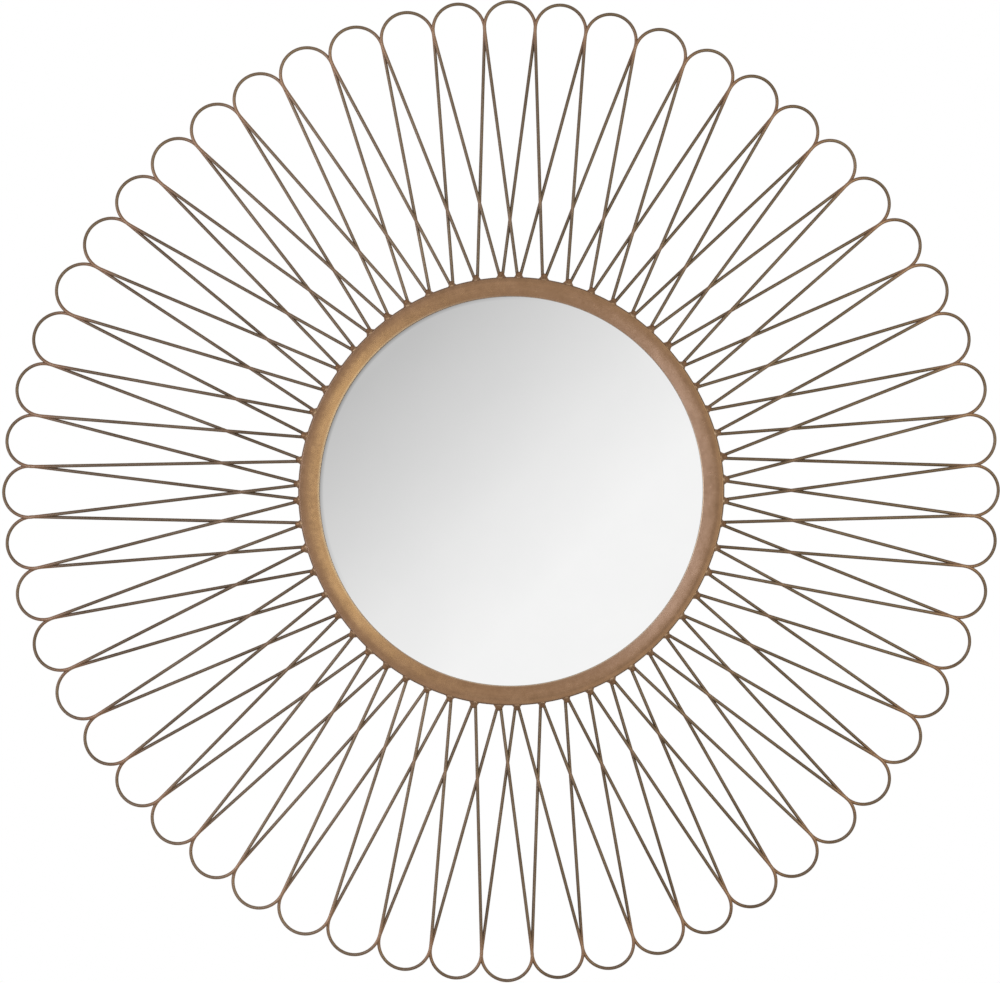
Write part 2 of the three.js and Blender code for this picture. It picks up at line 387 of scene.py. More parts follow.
# the sum of some slow waves at an angle
def wander(waves, angle):
    return sum(cosine * np.cos(count * angle) + sine * np.sin(count * angle)
               for count, cosine, sine in waves)


# the radius of a line round the wheel at an angle: it follows the lip's waves at the lip, the outer edge's
# waves at the outer edge and beyond, and a share of each between them
def outOfRound(radius, angle):
    share = np.clip((radius - ring["sight"]) / (ring["outer"] - ring["sight"]), 0, 1)
    lipWave = wander(ring["sightWaves"], angle)
    outerWave = wander(ring["outerWaves"], angle)
    return radius + (1 - share) * lipWave + share * outerWave


# feet stand midway between two petals, and each quarter of them is spread a little at its ends
def footAngle(step):
    even = (step + 0.5) * pitch
    share = np.mod(even, math.pi / 2) / (math.pi / 2)
    eased = 1 - wire["rightEase"] * bell(angleFrom(even, math.pi / 2), wire["rightSpan"])
    gather = wire["footGather"] * (2 * share - 1) * eased
    return leanedAngle(even) + gather + wander(wire["footWander"], even) / wire["footRadius"]


# the clock angle of a petal's tip
def tipAngle(step):
    even = step * pitch
    return leanedAngle(even) + wander(wire["tipWander"], even) / wire["reachMean"]


# from the wheel's axis to the outer edge of a tip: a mean and a few slow waves
def tipReach(step):
    even = step * pitch
    return (wire["reachMean"] - wire["reachLeft"] * np.sin(even) - wire["reachSides"] * np.cos(2 * even)
            + wire["reachAxes"] * np.cos(4 * even) + wander(wire["reachWander"], even))


# a leg's even points, from its end inside the weld to just short of where it meets the tip
def legLine(foot, end):
    run = end - foot
    start = foot - run / np.linalg.norm(run, axis=1, keepdims=True) * wire["buried"]
    share = np.linspace(0, 1, wire["legSteps"], endpoint=False)[None, :, None]
    return start[:, None] + (end - start)[:, None] * share


# where two straight legs cross: along the first by the ratio of two cross products
def crossing(startA, endA, startB, endB):
    runA = endA - startA
    runB = endB - startB
    gap = startB - startA
    across = runA[:, 0] * runB[:, 1] - runA[:, 1] * runB[:, 0]
    share = (gap[:, 0] * runB[:, 1] - gap[:, 1] * runB[:, 0]) / across
    return startA + runA * share[:, None]


# a petal is a loop of wire with two straight legs that touch a round tip; they cross on the way in, one in
# front; the tip's circle touches the lines halfway to the next petals, taken evenly on both sides, so
# neighbours meet there; it is drawn with its own tip straight up, across to the right and up outwards, and
# is turned to its angle last; each point also gets its distance from the joint with the next petal and from
# where the legs cross
def petalLines(step):
    turn = tipAngle(step)
    halfway = (tipAngle(step + 1) - tipAngle(step - 1)) / 4
    widen = np.sin(halfway)
    middle = (tipReach(step) - wire["diameter"] / 2) / (1 + widen)
    radius = middle * widen
    spreadAngle = wire["footSpread"] / wire["footRadius"]
    footTurn = np.stack([footAngle(step) - spreadAngle, footAngle(step - 1) + spreadAngle])
    footOut = outOfRound(wire["footRadius"], footTurn)
    foot = footOut * np.stack([np.sin(footTurn - turn), np.cos(footTurn - turn)])
    away = np.stack([-foot[0], middle - foot[1]])
    lean = np.arctan2(away[0], away[1])
    slip = np.arcsin(radius / np.hypot(away[0], away[1]))
    first = lean[0] - slip[0] - math.pi / 2     # where the front leg meets the tip
    last = lean[1] + slip[1] + math.pi / 2      # where the back leg leaves it
    angle = first[:, None] + (last - first)[:, None] * np.linspace(0, 1, wire["arcSteps"])
    arc = np.stack([radius[:, None] * np.sin(angle), middle[:, None] + radius[:, None] * np.cos(angle)], -1)
    front, back = foot[:, 0].T, foot[:, 1].T
    line = np.concatenate([legLine(front, arc[:, 0]), arc, legLine(back, arc[:, -1])[:, ::-1]], 1)
    edge = np.ones((len(step), wire["legSteps"]))
    angle = np.concatenate([edge * first[:, None], angle, edge * last[:, None]], 1)
    layer = easeIn(angle, -wire["turnover"], wire["turnover"]) - 0.5
    depth = layer * wire["layerStep"] - wire["plane"]
    meet = math.pi / 2 + halfway                # where a tip touches the next one, either side of the top
    kiss = np.stack([np.sin(meet) * radius, middle + np.cos(meet) * radius], -1)[:, None]
    toKiss = np.linalg.norm(np.stack([np.abs(line[..., 0]), line[..., 1]], -1) - kiss, axis=2)
    tie = crossing(front, arc[:, 0], back, arc[:, -1])
    toTie = np.linalg.norm(line - tie[:, None], axis=2)
    sine, cosine = np.sin(turn)[:, None], np.cos(turn)[:, None]
    spot = np.stack([line[..., 0] * cosine + line[..., 1] * sine, depth,
                     line[..., 1] * cosine - line[..., 0] * sine], -1)
    return spot, toKiss, toTie


# a round section carried along each line, on an axis across the wheel and one square to the wire
def sweepWire(line, radius):
    along = np.gradient(line, axis=1)
    along /= np.linalg.norm(along, axis=2, keepdims=True)
    sideways = np.cross(along, [0, 1, 0])
    sideways /= np.linalg.norm(sideways, axis=2, keepdims=True)
    upward = np.cross(sideways, along)
    turn = turnSteps(wire["sides"])[None, None, :, None]
    section = np.cos(turn) * sideways[:, :, None] + np.sin(turn) * upward[:, :, None]
    return line[:, :, None] + section * radius[:, :, None, None]


# every petal is a wire of its own, a little thicker, redder and brighter at its joints, paler with painted
# light at the lower and upper left and darker with painted shade at the top
def wirePetals(finish):
    lines, toKiss, toTie = petalLines(petalSteps)
    atTie = bell(toTie, wire["brazeLength"])
    braze = np.maximum(bell(toKiss, wire["brazeLength"]), wire["tieSwell"] * atTie)
    warm = np.maximum(bell(toKiss, wire["warmLength"]), wire["tieWarm"] * atTie)
    tubes = sweepWire(lines, wire["diameter"] / 2 * (1 + wire["swell"] * braze))
    clock = np.mod(np.arctan2(lines[..., 0], lines[..., 2]), math.tau)
    # painted light: the wires are paler at the lower left and the upper left
    litSides = sum(bell(clock - at, wire["litSpan"]) for at in wire["litAt"])
    coats = {
        "scorch_and_shade": wire["warm"] * warm,
        "rubbed_and_highlight": np.maximum(wire["bright"] * braze, wire["pale"] * litSides),
        # painted shade: the wires are darker at the top
        "painted_shade": wire["dark"] * bell(np.minimum(clock, math.tau - clock), wire["topShadeSpan"]),
    }
    faces = cappedFaces(lines.shape[1], wire["sides"])
    for step in petalSteps:
        points = np.concatenate([tubes[step].reshape(-1, 3), lines[step][[0, -1]]])
        piece = makePiece(f"wire_petal_{step + 1:02d}", points, faces, finish,
                          [f"petal_{step + 1:02d}"])
        for coat, shares in coats.items():
            paint(piece, coat, np.append(np.repeat(shares[step], wire["sides"]), [0, 0]))
    print("petals:", wire["count"], "wires of", len(points), "points")


wirePetals(bronzeFinish("wire_bronze", bronze["wire"]))


# the round frame and its welds

ringDepth = -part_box("frame_ring")[0].y
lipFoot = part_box("mirror_glass")[0].y - ring["glassGap"]


# the front's height behind the flat band: a slope that starts gently, as the long side of a right triangle
# grows with one short side, scaled to the whole drop at the lip
def frontFall(radius):
    along = np.maximum((ring["fallFrom"] - radius) / (ring["fallFrom"] - ring["sight"]), 0)
    soft = ring["fallSoft"]
    return ring["lipDrop"] * (np.hypot(along, soft) - soft) / (math.hypot(1, soft) - soft)


# the sheet's section, as radius and depth: up the wall, round the corner, along the front and into the
# opening, then back along the inside of the sheet
def ringSection():
    outer, sight, sheet, soft = ring["outer"], ring["sight"], ring["sheet"], ring["softEdge"]
    steps = ring["steps"]
    bend = outer - ring["cornerRound"]
    springs = ring["cornerRound"] - ringDepth
    lip = ring["lipRound"]
    lipFront = frontFall(sight + lip) - ringDepth
    front = np.linspace(bend, sight + lip, steps["front"])[1:-1]
    return np.concatenate([
        straight((outer, -soft), (outer, springs), steps["wall"])[:-1],
        corner(bend, springs, ring["cornerRound"], 0, 90, steps["corner"]),
        np.stack([front, frontFall(front) - ringDepth], -1),
        corner(sight + lip, lipFront + lip, lip, 90, 180, steps["lip"]),
        straight((sight, lipFront + 2 * lip), (sight, lipFoot), steps["inside"]),
        straight((sight + sheet, lipFoot), (sight + sheet, lipFront + sheet), steps["inside"]),
        [(bend, sheet - ringDepth)],
        corner(bend, springs, ring["cornerRound"] - sheet, 90, 0, steps["insideCorner"])[1:],
        straight((outer - sheet, springs / 2), (outer - sheet, 0), steps["inside"]),
        [(outer - soft, 0)],
    ])


# wear and painted light by place: scorched near the welds; painted shade on the wall and along the rim,
# less at the welds; the lip's edge rubbed, with a painted highlight at the left; painted shade inside the
# lip at the upper left and painted light on it at the lower right
def wearFrame(piece, radius, depth, around):
    behind = depth + ringDepth
    inward = ring["outer"] - radius
    outward = radius - ring["sight"]
    toFoot = np.abs(angleFrom(around[:, None], footAngle(petalSteps))).min(1) * ring["outer"]
    nearWeld = bell(toFoot, ring["weldHeatWide"]) * easeIn(inward, ring["weldHeatIn"], 0)
    onWall = easeIn(behind, *ring["wallFrom"])
    inLip = easeIn(outward, *ring["lipFrom"])
    rim = easeIn(inward, *ring["rimFrom"]) * (1 - onWall)
    # heat tint round the welds; painted shade on the wall and along the rim, in the scorched tone
    heatAndShade = [ring["weldHeat"] * nearWeld, ring["wallShade"] * onWall * (1 - inLip), ring["rimRedShade"] * rim]
    paint(piece, "scorch_and_shade", np.maximum.reduce(heatAndShade))
    # the lip's edge is rubbed all round, and a painted highlight makes it brightest at the left
    least, most = ring["rubbed_and_highlight"]
    bright = least + (most - least) * easeIn(np.cos(around - ring["highlightAt"]), *ring["highlightFrom"])
    lipEdge = bell(np.hypot(outward, behind - ring["lipDrop"]), ring["rubbedWide"])
    # painted light on the inside of the lip, strongest at the lower right
    litWall = inLip * easeIn(np.cos(around - ring["lipLitAt"]), *ring["lipLitFrom"])
    paint(piece, "rubbed_and_highlight", np.maximum(lipEdge * bright, litWall))
    # painted shade inside the lip at the upper left, and along the rim but less at the welds
    inside = ring["lipShade"] * inLip * bell(around - ring["lipShadeAt"], ring["lipShadeSpan"])
    rimShadeKept = 1 - ring["rimShadeCut"] * bell(toFoot, ring["rimShadeCutWide"])
    paint(piece, "painted_shade", np.maximum(inside, ring["rimDullShade"] * rim * rimShadeKept))


# the section carried round the wheel, a little out of round, with slow waves of hand working on its front
def roundFrame(finish):
    section = ringSection()
    around = turnSteps(ring["around"])
    radius, depth = section[:, :1], section[:, 1:]
    (roundA, acrossA), (roundB, acrossB) = ring["planishWaves"]
    wave = (np.sin(roundA * around) * np.cos(radius / acrossA)
            + np.cos(roundB * around + 1) * np.sin(radius / acrossB))
    depth = depth + ring["planish"] * easeIn(depth + ringDepth, *ring["planishFrom"]) * wave
    points = onWheel(outOfRound(radius, around), depth, around)
    faces = [gridFaces(len(section), ring["around"], closeRows=True, closeColumns=True)]
    piece = makePiece("round_frame", points, faces, finish, ["frame_ring"],
                      ring["sharpAngle"])
    wearFrame(piece, radius, depth, around)
    print("round frame:", points.size // 3, "points")


roundFrame(bronzeFinish("ring_bronze", bronze["ring"]))

weld = {
    "rise": 5.4 * mm,                 # out from the wall of the frame
    "lap": 4.0 * mm,                  # in from the wall, over the front corner
    "foot": 5.0 * mm,                 # half width at the wall
    "neck": 2.6 * mm,                 # half width at the wires
    "flare": 2.8,                     # how sharply the foot spreads
    "roundFrom": 0.62,                # share of the rise where the end starts to close
    "depth": 12.4 * mm,               # of a bead's middle
    "deep": 1.2,                      # depth of a bead for its width, towards the back
    "deepFront": 1.6,                 # and towards the front
    "lumps": 0.195,                   # how far it swells and dips
    # waves of that: how many round a bead, radians from foot to end, radians to the next bead, and lead
    "lumpWaves": [(2, 0, 2.4, 0), (3, 0, -6.48, math.pi / 2), (0, 9, 4.56, 0)],
    "vary": 0.09,                     # whole beads differ in size by this share, in a wave
    "varyStep": 7.44,                 # radians of it from one bead to the next
    "rows": 18,
    "columns": 24,
    "heat": (0.2, 0.45),              # how scorched at the wall, and further out
    "heatRise": 0.4,                  # share of the rise in which it grows
    "bare": 0.8,                      # less of it by this share on lumps
    "bareFrom": (1.0, 1.12),          # between these sizes
    "lumpRubAndHighlight": 0.25,                  # how bright the lumps are rubbed, partly a painted highlight
    "lumpRubFrom": (1.03, 1.2),       # between these sizes
    "frontHighlight": 0.35,                 # painted highlight on the front, where the light catches the beads
    "frontFrom": (16.5 * mm, 20.0 * mm),
    "frontVary": (0.6, 0.4),          # share of that, and how far it swings in a wave
    "frontStep": 4.1,                 # radians of it from one bead to the next
}


# a bead stands on the wall: its half width falls from the foot to the neck as a power of the way still to
# go, then closes as a quarter circle; inside the wall it closes the same way, so the foot laps over the
# frame's corner; it swells and dips in slow waves that differ from bead to bead
def weldBeads():
    step = petalSteps[:, None]
    share = (1 - np.cos(np.linspace(0, math.pi, weld["rows"] + 2)[1:-1])) / 2
    along = np.append(np.repeat(share, weld["columns"]), [0, 1])
    turn = np.append(np.tile(turnSteps(weld["columns"]), weld["rows"]), [0, 0])
    waves = sum(np.sin(count * turn + far * along + on * step + lead)
                for count, far, on, lead in weld["lumpWaves"])
    size = 1 + weld["lumps"] * along * (1 - along) * waves
    vary = 1 + weld["vary"] * np.sin(weld["varyStep"] * step)
    out = along * (weld["rise"] + weld["lap"]) - weld["lap"]
    rising = np.clip(out / weld["rise"], 0, 1)
    inside = np.clip(-out / weld["lap"], 0, 1)
    half = weld["neck"] + (weld["foot"] - weld["neck"]) * (1 - rising) ** weld["flare"]
    closing = np.clip((rising - weld["roundFrom"]) / (1 - weld["roundFrom"]), 0, 1)
    half = half * np.sqrt(1 - closing ** 2) * np.sqrt(1 - inside ** 2)
    wide = half * size * vary * np.sin(turn)
    deep = np.where(np.cos(turn) < 0, weld["deepFront"], weld["deep"])
    depth = half * size * deep * np.cos(turn) - weld["depth"]
    angle = footAngle(step) + wide / ring["outer"]
    radius = outOfRound(ring["outer"] + out * vary, angle)
    return onWheel(radius, depth, angle), size, np.broadcast_to(rising, size.shape)


# all the beads are one piece, darkest where they were hottest, rubbed on their lumps with some painted
# highlight, and with a painted highlight on their fronts
def weldPiece(finish):
    beads, size, rising = weldBeads()
    shift = (petalSteps * beads.shape[1])[:, None, None]
    faces = [(part[None] + shift).reshape(-1, part.shape[1])
             for part in cappedFaces(weld["rows"], weld["columns"])]
    piece = makePiece("weld_beads", beads, faces, finish)
    least, most = weld["heat"]
    heat = least + (most - least) * easeIn(rising, 0, weld["heatRise"])
    paint(piece, "scorch_and_shade", heat * (1 - weld["bare"] * easeIn(size, *weld["bareFrom"])))
    mean, swing = weld["frontVary"]
    differ = mean + swing * np.sin(weld["frontStep"] * petalSteps)
    # painted highlight on the beads' fronts, where the light catches them
    front = easeIn(-beads[..., 1], *weld["frontFrom"]) * differ[:, None]
    # lumps rubbed bright, partly as a painted highlight
    lumps = easeIn(size, *weld["lumpRubFrom"])
    paint(piece, "rubbed_and_highlight", np.maximum(weld["lumpRubAndHighlight"] * lumps, weld["frontHighlight"] * front))
    print("welds:", len(beads), "beads of", beads.shape[1], "points")


weldPiece(bronzeFinish("weld_bronze", bronze["weld"]))


# the mirror glass

glass = {
    "ground": 0.9 * mm,               # width of the ground edge
    "innermost": 20.0 * mm,           # radius of the first ring of points
    "rings": 8,
    "around": 160,
    "sharpAngle": math.radians(30),
    "tint": (0.930, 0.930, 0.928),
    "filmTint": (0.880, 0.885, 0.885),
    "filmAt": (0.35, 0.62),           # where in the smudges the film and the clear glass lie
    "film": 0.25,                     # how much of the film shows
    "smudge": 70 * mm,
    "polish": (0.004, 0.020),         # roughness, at least and at most
    "polishAt": (0.45, 0.75),         # where in the smudges
    "dimTint": (0.34, 0.335, 0.33),
    "dimFrom": 173.3 * mm,            # darker from here to the lip, most at the upper left
    "dimTo": 177.6 * mm,
    "drawnOut": 0.008,                # as the lip is
    "dimWay": (-0.839, 0.0, 0.545),
    "dimSide": 71.0 * mm,             # how far that way it starts
}


# silvered glass: bright and nearly flat, with a faint film of wiping marks that softens it in places, and
# darker along the lip, by how far out a point is times how far to the upper left
def mirrorFinish():
    finish, tree, shader, place = newFinish("mirror")
    film = cloud(tree, place, glass["smudge"], detail=5.0, roughness=0.6)
    colour = ramp(tree, film, list(zip(glass["filmAt"], (glass["filmTint"], glass["tint"]))))
    colour = layColour(tree, glass["film"], (*glass["tint"], 1), colour)
    reach = axisDistance(tree, place, glass["drawnOut"])
    side = vectorStep(tree, "DOT_PRODUCT", place, glass["dimWay"])
    dim = numberStep(tree, "MULTIPLY", spread(tree, reach, glass["dimFrom"], glass["dimTo"], 0, 1),
                     spread(tree, side, glass["dimSide"], glass["dimTo"], 0, 1))
    colour = layColour(tree, dim, colour, (*glass["dimTint"], 1))
    setInputs(tree, shader, {"Base Color": colour, "Metallic": 1.0,
                             "Roughness": spread(tree, film, *glass["polishAt"], *glass["polish"])})
    return finish


# a section from the back's middle round the ground edge to the front's, turned about the wheel's axis
def mirrorPlate(finish):
    low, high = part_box("mirror_glass")
    edge, innermost, rings = glass["ground"], glass["innermost"], glass["rings"]
    section = np.concatenate([
        straight((innermost, high.y), (high.x - edge, high.y), rings),
        [(high.x, high.y - edge), (high.x, low.y + edge)],
        straight((high.x - edge, low.y), (innermost, low.y), rings),
    ])
    points = onWheel(section[:, :1], section[:, 1:], turnSteps(glass["around"])).reshape(-1, 3)
    points = np.concatenate([points, [(0, high.y, 0), (0, low.y, 0)]])
    makePiece("mirror_plate", points, cappedFaces(len(section), glass["around"]), finish,
              ["mirror_glass"], glass["sharpAngle"])


mirrorPlate(mirrorFinish())
print("mirror glass in")


# the back: board, hanger plate and its screws

board = {
    "dark": (0.235, 0.150, 0.088),
    "light": (0.390, 0.275, 0.175),
    "fibre": 1.6 * mm,
    "stain": 60 * mm,
    "stains": [(0.3, (0.84, 0.82, 0.80)), (0.7, (1.06, 1.05, 1.03))],
    "rough": (0.78, 0.95),
    "nap": 0.35,                      # how strongly the fibres stand out
    "napDepth": 0.3 * mm,
}


# pressed fibreboard: short fibres lying every way over broad pale stains, dull and slightly furry
def boardFinish():
    finish, tree, shader, place = newFinish("fibreboard")
    fibre = cloud(tree, place, board["fibre"], detail=6.0, roughness=0.7)
    stain = cloud(tree, place, board["stain"])
    colour = ramp(tree, fibre, list(zip(noiseSpan, (board["dark"], board["light"]))))
    colour = layColour(tree, 1.0, colour, ramp(tree, stain, board["stains"]), "MULTIPLY")
    setInputs(tree, shader, {"Base Color": colour,
                             "Roughness": spread(tree, fibre, *noiseSpan, *board["rough"])})
    grain(tree, shader, fibre, board["nap"], board["napDepth"])
    return finish


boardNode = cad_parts["backing_board"]
boardNode.data.materials.clear()
boardNode.data.materials.append(boardFinish())

plating = {
    "zinc": [(0.400, 0.405, 0.420), (0.560, 0.565, 0.570)],
    "screwSteel": [(0.150, 0.138, 0.120), (0.240, 0.222, 0.196)],
    "tonesAt": (0.35, 0.65),
    "spangle": 5 * mm,
    "scratch": 0.25 * mm,
    "scratchLong": 20,                # times its width
    "rough": (0.28, 0.46),
    "scratchStrength": 0.12,
    "scratchDepth": 0.05 * mm,
}


# plated steel: soft spangles of two tones, with fine scratches along its length
def platedFinish(name, tones):
    finish, tree, shader, place = newFinish(name)
    stretch = tree.nodes.new("ShaderNodeMapping")
    setInputs(tree, stretch, {"Vector": place, "Scale": (1 / plating["scratchLong"], 1, 1)})
    spangle = cloud(tree, place, plating["spangle"])
    scratch = cloud(tree, stretch.outputs["Vector"], plating["scratch"], detail=2.0)
    setInputs(tree, shader, {"Base Color": ramp(tree, spangle, list(zip(plating["tonesAt"], tones))),
                             "Metallic": 1.0,
                             "Roughness": spread(tree, scratch, *noiseSpan, *plating["rough"])})
    grain(tree, shader, scratch, plating["scratchStrength"], plating["scratchDepth"])
    return finish


hanger = {
    "sunk": 0.5 * mm,                 # below the back, so the screw heads clear the wall
    "cornerRound": 4.0 * mm,
    "entry": 4.75 * mm,               # radius of the keyhole's round entry
    "slot": 2.4 * mm,                 # half width of the slot above it
    "travel": 11.0 * mm,              # from the entry's middle to the slot's end
    "entryDrop": 5.5 * mm,            # from the plate's middle down to the entry's
    "softEdge": 0.25 * mm,
    "around": 192,
    "sharpAngle": math.radians(35),
}


# distance from the middle to a rectangle with round corners, along each angle: the nearest of the two
# straight sides, or the corner's circle where the line passes through it
def roundedReach(angle, halfWide, halfHigh, size):
    across, up = np.abs(np.cos(angle)), np.abs(np.sin(angle))
    flat = np.minimum(halfWide / np.maximum(across, 1e-9), halfHigh / np.maximum(up, 1e-9))
    middle = across * (halfWide - size) + up * (halfHigh - size)
    spare = (halfWide - size) ** 2 + (halfHigh - size) ** 2 - size ** 2
    onCircle = middle + np.sqrt(np.maximum(middle ** 2 - spare, 0))
    inCorner = (flat * across > halfWide - size) & (flat * up > halfHigh - size)
    return np.where(inCorner, onCircle, flat)


# distance from the middle of the keyhole's round entry to its edge: the entry's circle, or the slot above
# it, which is two straight sides closed by a half circle
def keyholeReach(angle):
    across, up = np.abs(np.cos(angle)), np.sin(angle)
    top = hanger["travel"]
    sides = hanger["slot"] / np.maximum(across, 1e-9)
    dome = top * up + np.sqrt(np.maximum(hanger["slot"] ** 2 - (top * across) ** 2, 0))
    slotReach = np.where(sides * up < top, sides, dome)
    return np.where(up > 0, np.maximum(hanger["entry"], slotReach), hanger["entry"])


# the plate is a ring of sections between the keyhole's edge and the plate's outline, with both edges eased
def hangerPlate(finish):
    low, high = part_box("hanger_plate")
    middle = (low + high) / 2
    angle = turnSteps(hanger["around"])
    hole = keyholeReach(angle)
    inner = np.stack([hole * np.cos(angle), hole * np.sin(angle) - hanger["entryDrop"]], -1)
    reach = roundedReach(angle, (high.x - low.x) / 2, (high.z - low.z) / 2, hanger["cornerRound"])
    outer = reach[:, None] * np.stack([np.cos(angle), np.sin(angle)], -1)
    back, front, soft = high.y - hanger["sunk"], low.y, hanger["softEdge"]
    inset = soft / np.linalg.norm(outer - inner, axis=1)
    zero, one = 0 * inset, 1 + 0 * inset
    share = np.stack([zero, inset, 0.5 * one, 1 - inset, one, one, 1 - inset, inset, zero], 1)
    depth = np.array([back - soft, back, back, back, back - soft, front + soft, front, front, front + soft])
    flat = inner[:, None] + (outer - inner)[:, None] * share[..., None]
    points = np.stack([flat[..., 0] + middle.x, 0 * share + depth, flat[..., 1] + middle.z], -1)
    faces = [gridFaces(hanger["around"], len(depth), closeRows=True, closeColumns=True)]
    makePiece("keyhole_plate", points, faces, finish, ["hanger_plate"],
              hanger["sharpAngle"])


screw = {
    "span": 40.0 * mm,                # from one to the other
    "head": 3.4 * mm,                 # radius
    "rise": 0.40 * mm,                # of the dome
    "wall": 1.0 * mm,                 # from the head's edge down into the plate
    "crossDeep": 0.8 * mm,
    "crossWide": (0.20, 0.10),        # half width at the top and the floor, as shares of the head's radius
    "crossLong": (0.72, 0.50),        # and half length
    "middleDeep": 0.1 * mm,           # deeper still at the very middle
    "innermost": 0.06,                # share of the radius where the first ring of points lies
    "rings": 14,
    "around": 40,
}


# a screw head is a low dome; a cross of two sunk troughs is cut into it, deepest at the middle
def hangerScrews(finish):
    low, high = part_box("hanger_plate")
    middle = (low + high) / 2
    columns = screw["around"]
    out = np.linspace(screw["innermost"], 1, screw["rings"])[:, None]
    across, up = out * np.cos(turnSteps(columns)), out * np.sin(turnSteps(columns))
    upright = easeIn(np.abs(across), *screw["crossWide"]) * easeIn(np.abs(up), *screw["crossLong"])
    level = easeIn(np.abs(up), *screw["crossWide"]) * easeIn(np.abs(across), *screw["crossLong"])
    rise = screw["rise"] * (1 - out ** 2) - screw["crossDeep"] * np.maximum(upright, level)
    points = []
    faces = []
    for side in (-1, 1):
        beside = middle.x + side * screw["span"] / 2
        head = np.stack([across * screw["head"] + beside, high.y - hanger["sunk"] + rise,
                         up * screw["head"] + middle.z], -1).reshape(-1, 3)
        foot = head[-columns:] - [0, screw["wall"], 0]
        pole = head[:columns].mean(0) - [0, screw["middleDeep"], 0]
        shift = sum(map(len, points))
        points.append(np.concatenate([head, foot, [pole, foot.mean(0)]]))
        faces += [part[:, ::-1] + shift for part in cappedFaces(screw["rings"] + 1, columns)]
    makePiece("hanger_screws", np.concatenate(points), faces, finish,
              sharpAngle=hanger["sharpAngle"])


hangerPlate(platedFinish("zinc_plate", plating["zinc"]))
hangerScrews(platedFinish("screw_steel", plating["screwSteel"]))
print("back: board, keyhole plate, two screws")


# stage, light and camera

floor = {
    "drop": 0.65,                     # below the middle of the mirror
    "middle": -0.75,                  # in front of it
    "full": 0.6,                      # solid up to this distance, then it fades to its rim
    "rim": 1.65,
    "pale": (0.80, 0.795, 0.785),
    "shade": 0.97,                    # of the pale tone, in its darker patches
    "tonesAt": (0.35, 0.65),
    "patch": 0.25,                    # width of a patch of tone
    "rough": 0.8,
    "innermost": 0.05,
    "rings": 8,
    "around": 48,
}


# a round pale floor, made of rings about its middle, that fades away towards its rim
def paleFloor():
    finish, tree, shader, place = newFinish("pale_floor")
    middle = (0, floor["middle"], -floor["drop"])
    shade = tuple(floor["shade"] * part for part in floor["pale"])
    patches = cloud(tree, place, floor["patch"])
    tone = ramp(tree, patches, list(zip(floor["tonesAt"], (shade, floor["pale"]))))
    away = vectorStep(tree, "DISTANCE", place, middle)
    setInputs(tree, shader, {"Base Color": tone, "Roughness": floor["rough"],
                             "Alpha": spread(tree, away, floor["full"], floor["rim"], 1, 0)})
    out = np.linspace(floor["innermost"], floor["rim"], floor["rings"])[:, None]
    turn = turnSteps(floor["around"])
    flat = np.stack([out * np.cos(turn), out * np.sin(turn), 0 * out * turn], -1) + middle
    points = np.concatenate([flat.reshape(-1, 3), [middle]])
    faces = (gridFaces(floor["rings"], floor["around"], closeColumns=True).tolist()
             + fanFaces(len(points) - 1, 0, floor["around"]).tolist())
    mesh = bpy.data.meshes.new("floor")
    mesh.from_pydata(points.tolist(), [], faces)
    mesh.materials.append(finish)
    made = bpy.data.objects.new("floor", mesh)
    scene.collection.objects.link(made)


room = {
    "white": 1.0,                     # what the camera sees behind the mirror
    "even": 0.88,                     # what lights it from all round
    "slope": (0.7071, 0.0, -0.7071),  # the mirrored wall pales towards the lower right
    "slopeFrom": -0.0719,             # how far a direction leans that way, from dark to pale
    "slopeTo": 0.0577,
    "paleness": [(0.00, 0.575), (0.28, 0.715), (0.58, 0.868), (0.88, 0.973), (1.00, 0.982)],
    "coneFrom": math.cos(math.radians(16)),   # that wall fades in between these two angles from ahead
    "coneTo": math.cos(math.radians(8)),
}


# white behind for the camera; for the light, even grey all round, and straight in front the softly shaded
# wall that the mirror shows, whose grey depends on how far a direction leans to the lower right
def studioRoom():
    world = bpy.data.worlds.new("studio")
    scene.world = world
    world.use_nodes = True
    tree = world.node_tree
    look = tree.nodes.new("ShaderNodeTexCoord").outputs["Generated"]
    lean = vectorStep(tree, "DOT_PRODUCT", look, room["slope"])
    ahead = vectorStep(tree, "DOT_PRODUCT", look, (0, -1, 0))
    share = spread(tree, lean, room["slopeFrom"], room["slopeTo"], 0, 1)
    wall = ramp(tree, share, [(at, (grey,) * 3) for at, grey in room["paleness"]])
    cone = spread(tree, ahead, room["coneFrom"], room["coneTo"], 0, 1)
    light = layColour(tree, cone, (*(room["even"],) * 3, 1), wall)
    seen = tree.nodes.new("ShaderNodeLightPath").outputs["Is Camera Ray"]
    colour = layColour(tree, seen, light, (*(room["white"],) * 3, 1))
    tree.links.new(colour, tree.nodes["Background"].inputs["Color"])


# clock and out are in degrees; softRim is the share of a panel's width that its soft rim takes, either side
lamps = {
    "right_panel": {"clock": (55, 90, 125), "out": 29, "away": 3.4, "size": (1.1, 1.5), "softRim": 0.3,
                    "watts": (19.0, 21.0, 19.0), "colour": (0.88, 1.0, 0.74)},
    "left_panel": {"clock": (235, 270, 305), "out": 29, "away": 3.4, "size": (1.1, 1.5), "softRim": 0.3,
                   "watts": (25.0, 26.0, 25.0), "colour": (0.46, 0.62, 1.0)},
    "left_side": {"clock": (275,), "out": 67, "away": 2.6, "size": (1.1, 2.2), "softRim": 0.3,
                  "watts": (24.0,), "colour": (0.97, 0.98, 1.0)},
}


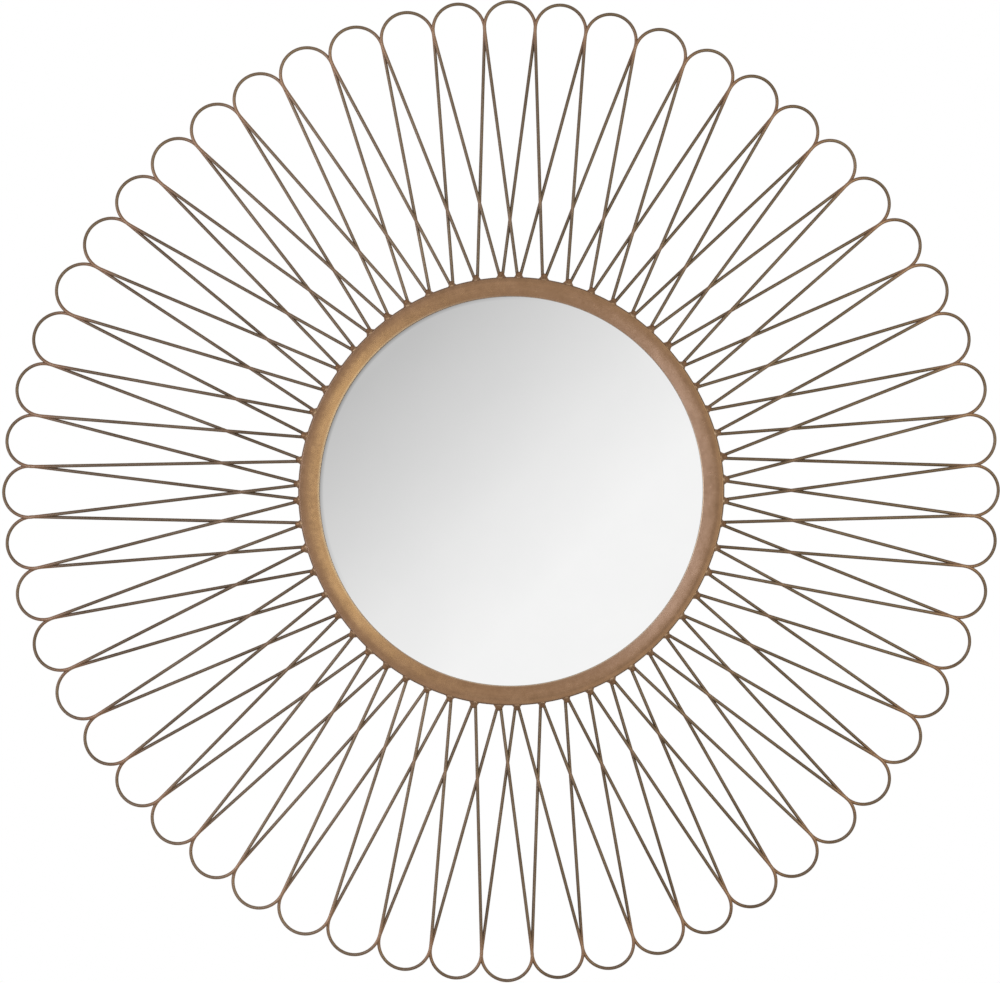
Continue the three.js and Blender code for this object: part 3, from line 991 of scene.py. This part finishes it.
# a panel's cloth glows less towards its edges: the share of each way from an edge to the middle, eased over
# the soft rim and multiplied together
def softEdges(data, softRim):
    data.use_nodes = True
    tree = data.node_tree
    spot = tree.nodes.new("ShaderNodeSeparateXYZ")
    tree.links.new(tree.nodes.new("ShaderNodeNewGeometry").outputs["Parametric"], spot.inputs["Vector"])
    fromEdge = [numberStep(tree, "PINGPONG", spot.outputs[way], 0.5) for way in ("X", "Y")]
    eased = [spread(tree, share, 0, softRim, 0, 1, "SMOOTHSTEP") for share in fromEdge]
    glow = numberStep(tree, "MULTIPLY", *eased)
    tree.links.new(glow, tree.nodes["Emission"].inputs["Strength"])


# soft panels that face the middle of the mirror, each at its clock angle round the straight line ahead and
# so many degrees out from it, with the long side running round that line
def softLamps(name, lamp):
    out = math.radians(lamp["out"])
    for part, clock in enumerate(np.radians(lamp["clock"])):
        data = bpy.data.lights.new(f"{name}_{part + 1}", "AREA")
        data.shape = "RECTANGLE"
        data.size, data.size_y = lamp["size"]
        data.energy = lamp["watts"][part]
        data.color = lamp["colour"]
        softEdges(data, lamp["softRim"])
        along = Vector((math.cos(clock), 0, -math.sin(clock)))
        facing = Vector((math.sin(out) * math.sin(clock), -math.cos(out), math.sin(out) * math.cos(clock)))
        made = bpy.data.objects.new(data.name, data)
        made.location = facing * lamp["away"]
        made.rotation_euler = Matrix((along.cross(facing), along, facing)).transposed().to_euler()
        made.visible_camera = False
        scene.collection.objects.link(made)


photo = {
    "wide": 917.0 * mm,               # what the picture's width takes in, at the wires
    "aim": (-10.3 * mm, -0.3 * mm),   # left and down from the mirror's middle
    "distance": 2.2,
    "sensor": 36.0,
}


# straight ahead of the mirror, level with its middle
def straightOnCamera():
    data = bpy.data.cameras.new("camera")
    data.sensor_width = photo["sensor"]
    data.lens = photo["sensor"] * photo["distance"] / photo["wide"]
    camera = bpy.data.objects.new("camera", data)
    camera.location = (photo["aim"][0], -photo["distance"] - wire["plane"], photo["aim"][1])
    camera.rotation_euler = (math.radians(90), 0, 0)
    scene.collection.objects.link(camera)
    scene.camera = camera


paleFloor()
studioRoom()
for name, lamp in lamps.items():
    softLamps(name, lamp)
straightOnCamera()
scene.view_settings.view_transform = "Standard"
print("stage: floor, room, lamps, camera")
